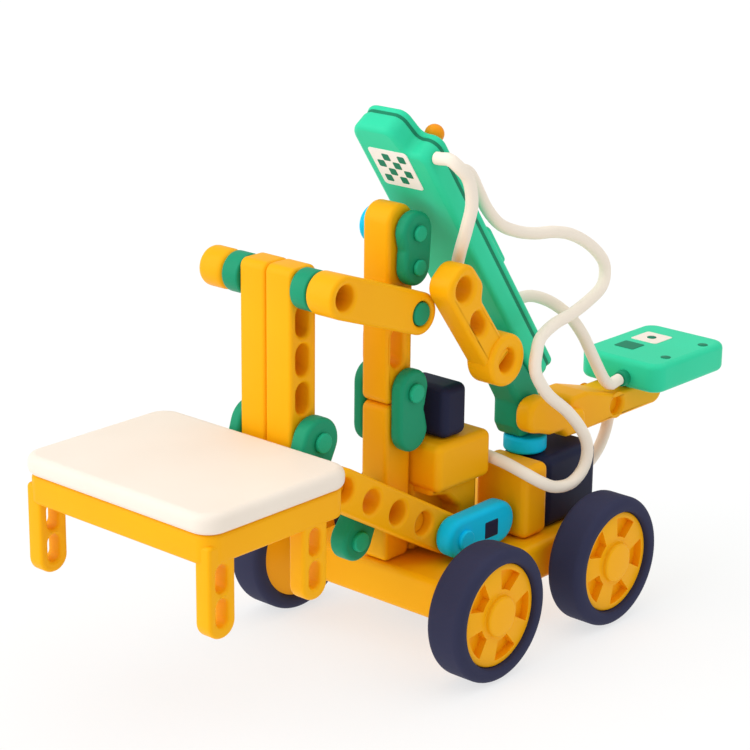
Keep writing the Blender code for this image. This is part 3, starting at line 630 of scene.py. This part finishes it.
def build_mast():
    foot_z, splice_low, splice_high, top_z = MAST_Z
    front, back = MAST_Y
    foot = rounded([(front, foot_z, 4), (back, foot_z, 4), (back, splice_low, 4),
                    (front, splice_low, 4)])
    finish(slab("mast_lower_post", SIDE, MAST_X, foot, soft=2.5), "root", "yellow",
           "mast_lower")
    top = rounded([(front, splice_high, 4), (back, splice_high, 4), (back, top_z, 8.8),
                   (front, top_z, 8.8)])
    finish(slab("mast_upper_post", SIDE, MAST_X, top, [slot(MAST_WINDOW, 4.2, 5)], 2.2), "root",
           "yellow", "mast_upper")
    low_x, high_x = PLATE_X
    waist = (arc(SPLICE_TOP, 10, 0, 180, 25) + arc(SPLICE_BOTTOM, 10, 180, 360, 25)
             + arc(SPLICE_WAIST, 3.6, 212, 148, 7))
    for side, span in (("right", PLATE_X), ("left", (-high_x, -low_x))):
        finish(slab("splice_plate_" + side, SIDE, span, waist), "root", "dark_green",
               "mast_plate_" + side)
    rivet = [(4.6, -high_x - RIVET_HEAD, -high_x), (PIN_R, -high_x, high_x),
             (4.6, high_x, high_x + RIVET_HEAD)]
    finish(pin("splice_pin", rivet, SPLICE_PIN), "root", "pin_green", "mast_splice_pin")
    tip = (arc(TIP_TOP, 10, 0, 180, 25) + arc(TIP_WAIST, 3.4, 32, -28, 7)
           + arc(TIP_BOTTOM, 8.9, 180, 360, 25))
    finish(slab("top_plate", SIDE, PLATE_X, tip), "root", "dark_green", "mast_top_plate")
    for name, (z, low) in TIP_PINS.items():
        finish(pin("top_pin_" + name, [(2.5, low, high_x), (3.8, high_x, high_x + 2)], (TIP_Y, z)),
               "root", "pin_green", "mast_top_pin_" + name)
    finish(turned("mast_knob", round_profile([(CAP_R, *CAP_X)], 2.4), (0, *TIP_TOP), ALONG_X),
           "root", "blue", "mast_cap")
    for name, head_x, centre, skin, node in (
            ("lift_pivot_pin", 19, LIFT_PIVOT, "yellow", "lift_pin"),
            ("arm_pivot_pin", 24, ARM_PIVOT, "dark_green", "upper_arm_pin")):
        finish(pin(name, [(PIN_R, MAST_X[0], low_x), (STUD_R, low_x, head_x)], centre), "root",
               skin, node)


# ---------------------------------------------------------------- lift
BRACKET_X = (-2, 8)
LEVER_ENDS, LEVER_RADII = ((17.3, 55.3), (46.3, 55.2)), (9.8, 10.5)
LEVER_KEY = ((30, 34.4), (33.6, 43.8), (50, 58.8))


def build_lift():
    holes = [circle(beam_hole(i), HOLE_R) for i in range(BEAM_HOLES)]
    first, middle, last = (beam_hole(i) for i in (0, BEAM_HOLES // 2, BEAM_HOLES - 1))
    finish(slab("lift_beam_plate", SIDE, DRIVE_X, capsule(first, last, BEAM_R), holes, 1.8),
           "lift_beam", "yellow", "perforated_beam")
    finish(slab("beam_bracket", SIDE, BRACKET_X, capsule(BRACKET_PIN, middle, 10, 7.3)),
           "lift_beam", "dark_green", "beam_plate")
    finish(pin("bracket_boss", [(STUD_R, 7, 14)], middle), "lift_beam", "yellow")
    finish(pin("bracket_pin", [(PIN_R, -2, 7.5), (PIN_HEAD_R, 7.5, 10.3)], BRACKET_PIN),
           "lift_beam", "pin_green", "beam_plate_pin")
    finish(slab("top_link", SIDE, DRIVE_X, capsule(CROSSBAR, ARM_PIVOT, BEAM_R),
                [circle(CROSSBAR, HOLE_R), circle(ARM_PIVOT, HOLE_R)], 1.8), "upper_arm",
           "yellow", "upper_arm_beam")
    finish(slab("lever_body", SIDE, LEVER_X, capsule(*LEVER_ENDS, *LEVER_RADII), soft=2.8),
           "lever", "blue", "lever_arm")
    finish(box("lever_square", *LEVER_KEY, 1), "lever", "navy", "lever_key")
    stud = [(STUD_R, 9, 24), (PIN_R, 24, 33), (PIN_HEAD_R, 33, 36)]
    finish(pin("lever_stud", stud, last), "lever", "blue", "lever_pin")


# ---------------------------------------------------------------- carriage
POST_X = {"right": (-18, -2), "left": (-34, -18.3)}
POST_SLOTS_Z = (133.9, 152.2, 170.5)
RING_X = {"inner": (-1.7, 7.7), "outer": (-44, -34.3)}
RING_R = 9.5
END_KNOB_X, TOP_ROD_X = (-60, -44.3), (-56.6, 14)
EAR_X = {"right": (-1.7, 7), "left": (-41, -34.3)}
EAR_LOW, EAR_R = (-58.2, 98.3), 11.5
LEG_SLOTS_Z = (70.5, 86.0)
LEG_ROOT_Z = APRON_Z + 9


def build_carriage():
    outline = rectangle((POST_Y - POST_HALF, POST_Y + POST_HALF), POST_Z, 4)
    holes = [slot((POST_Y, z), 4.4, 3) for z in POST_SLOTS_Z]
    for side, span in POST_X.items():
        finish(slab("upright_" + side, SIDE, span, outline, holes, 1.8), "carriage", "yellow",
               "post_" + side)
    for side, span in RING_X.items():
        finish(pin("ring_" + side, [(RING_R, *span)], CROSSBAR, 1), "carriage", "dark_green",
               "crossbar_ring_" + side)
    finish(pin("end_knob", [(RING_R, *END_KNOB_X)], CROSSBAR, 3.5), "carriage", "yellow",
           "crossbar_knob")
    finish(pin("top_rod", [(PIN_R, *TOP_ROD_X)], CROSSBAR), "carriage", "yellow",
           "crossbar_rod")
    finish(pin("bottom_rod", [(PIN_R, -41, 8.3), (5.4, 8.3, 18)], beam_hole(0)), "carriage",
           "yellow", "lower_rod")
    for side, span in EAR_X.items():
        finish(slab("ear_plate_" + side, SIDE, span, capsule(EAR_PIN, EAR_LOW, EAR_R, BEAM_R)),
               "carriage", "dark_green", "ear_" + side)
    rivet = [(PIN_HEAD_R, -43.2, -41), (PIN_R, -41, 7), (PIN_HEAD_R, 7, 9.2)]
    finish(pin("ear_rivet", rivet, EAR_PIN), "carriage", "pin_green", "ear_pin")
    build_table()


def build_table():
    finish(slab("table_plate", FLAT, TABLE_Z, rectangle(TABLE_X, TABLE_Y, 11), soft=3.6),
           "carriage", "cream", "table_top")
    outer = [(low + APRON_INSET, high - APRON_INSET) for low, high in (TABLE_X, TABLE_Y)]
    inner = [(low + APRON_WALL, high - APRON_WALL) for low, high in outer]
    finish(slab("table_apron", FLAT, (APRON_Z, TABLE_Z[0] - APRON_GAP), rectangle(*outer, 8),
                [rectangle(*inner, 4)], 1.8), "carriage", "yellow", "table_frame")
    legs_x = {"left": outer[0][0] + LEG_INSET_X, "right": outer[0][1] - APRON_WALL - LEG_INSET_X}
    legs_y = {"front": outer[1][0] + LEG_WIDTH / 2 + LEG_INSET_Y, "back": BACK_LEG_Y}
    for across, low_x in legs_x.items():
        for along, centre in legs_y.items():
            front, back = centre - LEG_WIDTH / 2, centre + LEG_WIDTH / 2
            shape = rounded([(front, LEG_FOOT_Z, 7.4), (back, LEG_FOOT_Z, 7.4),
                             (back, LEG_ROOT_Z, 2), (front, LEG_ROOT_Z, 2)])
            holes = [slot((centre, z), 3.4, 3) for z in LEG_SLOTS_Z]
            finish(slab("table_leg_%s_%s" % (along, across), SIDE, (low_x, low_x + APRON_WALL),
                        shape, holes, 1.6), "carriage", "yellow")


# ---------------------------------------------------------------- turret
LABEL_X, LABEL_S, LABEL_HALF = 1.5, 187.6, 11.7
LABEL_HEIGHT, MARK_HEIGHT = 0.35, 0.5
CELLS, CELL, MARK_HALF = 4, 4.6, 2.1
STEP_S, STEP_X = 13, 11          # the bar's lower right top corner
SEAM_INSET = 0.5
PAD_S, PAD_INSET, PAD_RISE = (113, 137), 2, 3
BALL_R, BALL_RISE, BALL_STEM = 4.6, 5, -1.1


def bar_point(x, s, n):
    """The place at x across the leaning bar, s up it and n through it."""
    return x, n * cos(BAR_TILT) - s * sin(BAR_TILT), n * sin(BAR_TILT) + s * cos(BAR_TILT)


def on_bar(name, height, outline, soft):
    """A raised mark on the bar's front face."""
    return slab(name, BAR, (-BAR_FACES[0], -BAR_FACES[0] + height), outline, soft=soft)


def square(x, s, half, radius):
    return rectangle((x - half, x + half), (s - half, s + half), radius)


def build_label():
    """A pale label with a plain chequer of rounded squares."""
    finish(on_bar("label", LABEL_HEIGHT, square(LABEL_X, LABEL_S, LABEL_HALF, 2), 0.12),
           "turret", "label")
    middle = (CELLS - 1) / 2
    for row in range(CELLS):
        for column in range(row % 2, CELLS, 2):
            patch = square(LABEL_X + (column - middle) * CELL, LABEL_S + (row - middle) * CELL,
                           MARK_HALF, 0.7)
            finish(on_bar("label_mark_%d_%d" % (row, column), MARK_HEIGHT, patch, 0.1),
                   "turret", "mark")


def build_bar():
    (x0, x1), (s0, s1) = BAR_X, BAR_S
    front, front_back, back_front, back = (-n for n in BAR_FACES)
    outline = rounded([(x0, s0, 6), (x1, s0, 6), (x1, s1 - STEP_S, 6),
                       (x1 - STEP_X, s1 - STEP_S, 4), (x1 - STEP_X - 4, s1, 6), (x0, s1, 8)])
    finish(slab("controller_front_shell", BAR, (front_back, front), outline, soft=2.6),
           "turret", "light_green", "controller_front")
    finish(slab("controller_back_shell", BAR, (back, back_front), outline, soft=1.7),
           "turret", "light_green", "controller_back")
    x0, x1, s0, s1 = x0 + SEAM_INSET, x1 - SEAM_INSET, s0 + SEAM_INSET, s1 - SEAM_INSET
    filler = rounded([(x0, s0, 5.6), (x1, s0, 5.6), (x1, s1 - STEP_S, 5.6),
                      (x1 - STEP_X + 0.1, s1 - STEP_S, 4), (x1 - STEP_X - 3.9, s1, 5.6),
                      (x0, s1, 7.6)])
    finish(slab("controller_seam", BAR, (back + 2.5, front_back + 4), filler, soft=0.4),
           "turret", "mark")
    pad = rectangle((BAR_X[0] + PAD_INSET, BAR_X[1] - PAD_INSET), PAD_S, 3)
    finish(slab("controller_back_pad", BAR, (back - PAD_RISE, back + PAD_RISE), pad, soft=1.4),
           "turret", "light_green")
    ball = [(max(r, 0), h + BALL_RISE) for r, h in arc((0, 0), BALL_R, 90, -48, 20)]
    button = turned("ball_button", ball + [(PIN_R, BALL_STEM), (0, BALL_STEM)],
                    bar_point(*BUTTON, BAR_FACES[3]), OFF_BAR, steps=COARSE)
    finish(button, "button", "orange", "power_button")
    build_label()


KNOB = [(PIN_R, -11.5, 0.3), (10.7, 0.3, 8.7)]
NECK_X = (8, 24)
NECK = [(73, 89, 3), (69.5, 95, 3), (69.5, 107, 5), (59, 123, 4), (56, 133, 3), (59.5, 146, 3),
        (81.5, 117.3, 4), (90, 104, 4), (92, 92, 4), (84, 89, 3)]
NECK_BOSS_X, NECK_BOSS_END, NECK_BOSS_R = (20, 24), (60, 132), 5.6
ARM_LOBE = [(66, 95, 7), (77, 92.5, 5), (84, 90, 3), (93.5, 89.5, 3), (97, 85.5, 3),
            (112, 85, 4), (112, 97, 4), (97, 99, 8), (86, 106, 8), (80, 111, 7), (66, 111, 8)]
ARM_X = (8, 30)
ARM = [(104, 83.5, 4), (182, 83.5, 7), (183.5, 97, 2.4), (141, 97, 8), (118, 103.5, 8),
       (104, 103.5, 4)]
CASE_SCREWS = ((41, 168), (42.5, 199))
CASE_ICON = ((8, 24), (183, 199))
CASE_WINDOW = ((9, 21), (167, 178))


def build_turret():
    finish(turned("turret_drum", round_profile(KNOB, 1.8), (*TURRET, 80), ALONG_Z), "turret",
           "blue", "turret_knob")
    finish(slab("turret_neck", SIDE, NECK_X, rounded(NECK, count=8), soft=2.6), "turret",
           "dark_green", "neck")
    boss = capsule(LINK_PIVOT, NECK_BOSS_END, NECK_BOSS_R)
    finish(slab("neck_boss", SIDE, NECK_BOSS_X, boss, soft=1), "turret", "dark_green")
    finish(slab("arm_lobe", SIDE, LEVER_X, rounded(ARM_LOBE, count=8), soft=2.6), "turret",
           "yellow", "sensor_arm")
    finish(slab("arm_beam", SIDE, ARM_X, rounded(ARM, count=8), [circle(ARM_BORE, 4.8)]),
           "turret", "yellow")
    finish(slab("arm_beam_core", SIDE, (9, 26), circle(ARM_BORE, 5.2), soft=0.5), "turret",
           "yellow")
    finish(slab("sensor_case", FLAT, SENSOR_Z, rectangle(SENSOR_X, SENSOR_Y, 8), soft=3.2),
           "turret", "light_green", "sensor_box")
    finish(turned("sensor_socket", round_profile([(4.1, -2, 4)], 0.8),
                  (PORT[0], SENSOR_Y[0], PORT[1]), FORWARD, steps=COARSE), "turret",
           "dark_green")
    top = SENSOR_Z[1]
    for i, (x, y) in enumerate(CASE_SCREWS):
        finish(turned("case_screw_%d" % i, [(0, 0.15), (2.6, 0.15), (2.9, -0.6), (0, -0.6)],
                      (x, y, top), ALONG_Z, steps=32), "turret", "mark")
    finish(slab("case_icon", FLAT, (top - 0.5, top + 0.25), rectangle(*CASE_ICON, 1.5),
                soft=0.12), "turret", "cream")
    middle = [sum(ends) / 2 for ends in CASE_ICON]
    finish(turned("case_icon_dot", [(0, 0.5), (2.4, 0.5), (2.5, -0.2), (0, -0.2)],
                  (*middle, top), ALONG_Z, steps=32), "turret", "mark")
    finish(slab("case_window", FLAT, (top - 0.5, top + 0.2), rectangle(*CASE_WINDOW, 1),
                soft=0.1), "turret", "mark")


# the yellow link: distance along it and across it from its pivot, and corner radius
LINK = [(0, -10.5, 3), (60, -10.5, 8), (61, 10.5, 9), (42, 11, 6), (36, 5.5, 4), (0, 5.5, 2)]
LINK_LEAN = atan2(40.0, -30.0)
LINK_EYE, LINK_SLOT = (50, 0), ((27, -2.5), (31, -2.5))
LINK_X, LINK_HUB_X, LINK_HUB_R = (24.5, 38), (24.3, 40), 12.7


def from_link_pivot(along, across):
    return (LINK_PIVOT[0] + along * cos(LINK_LEAN) + across * sin(LINK_LEAN),
            LINK_PIVOT[1] + along * sin(LINK_LEAN) - across * cos(LINK_LEAN))


def build_side_link():
    outline = rounded([(*from_link_pivot(a, c), radius) for a, c, radius in LINK])
    holes = [circle(from_link_pivot(*LINK_EYE), HOLE_R),
             capsule(*(from_link_pivot(*end) for end in LINK_SLOT), 4.3)]
    finish(slab("link_plate", SIDE, LINK_X, outline, holes, 2.4), "side_link", "yellow",
           "side_link_arm")
    finish(slab("link_hub", SIDE, LINK_HUB_X, circle(LINK_PIVOT, LINK_HUB_R),
                [circle(LINK_PIVOT, HOLE_R)], 2.2), "side_link", "yellow")
    finish(pin("link_pin", [(PIN_R, 20, 24.3), (STUD_R, 24.3, 32)], LINK_PIVOT), "turret",
           "yellow", "side_link_pin")


def dress_inner_nodes():
    """CAD nodes whose shape is right keep it and get a finished material."""
    for name, skin in (("battery_pack", "battery"), ("controller_board", "board"),
                       ("front_axle_rod", "steel"), ("rear_axle_rod", "steel")):
        node = frame["nodes"][name]
        node.data.materials.clear()
        node.data.materials.append(SKIN[skin][0])


add_camera()
for cable_node, (cable_points, cable_bend) in CABLES.items():
    cable(cable_node, cable_points, cable_bend)
add_stage()
build_base()
for wheel_end, wheel_axle in zip(("front", "rear"), AXLE_Y):
    for wheel_side in ("left", "right"):
        build_wheel(wheel_side, wheel_end, wheel_axle)
build_mast()
build_lift()
build_carriage()
build_bar()
build_turret()
build_side_link()
dress_inner_nodes()
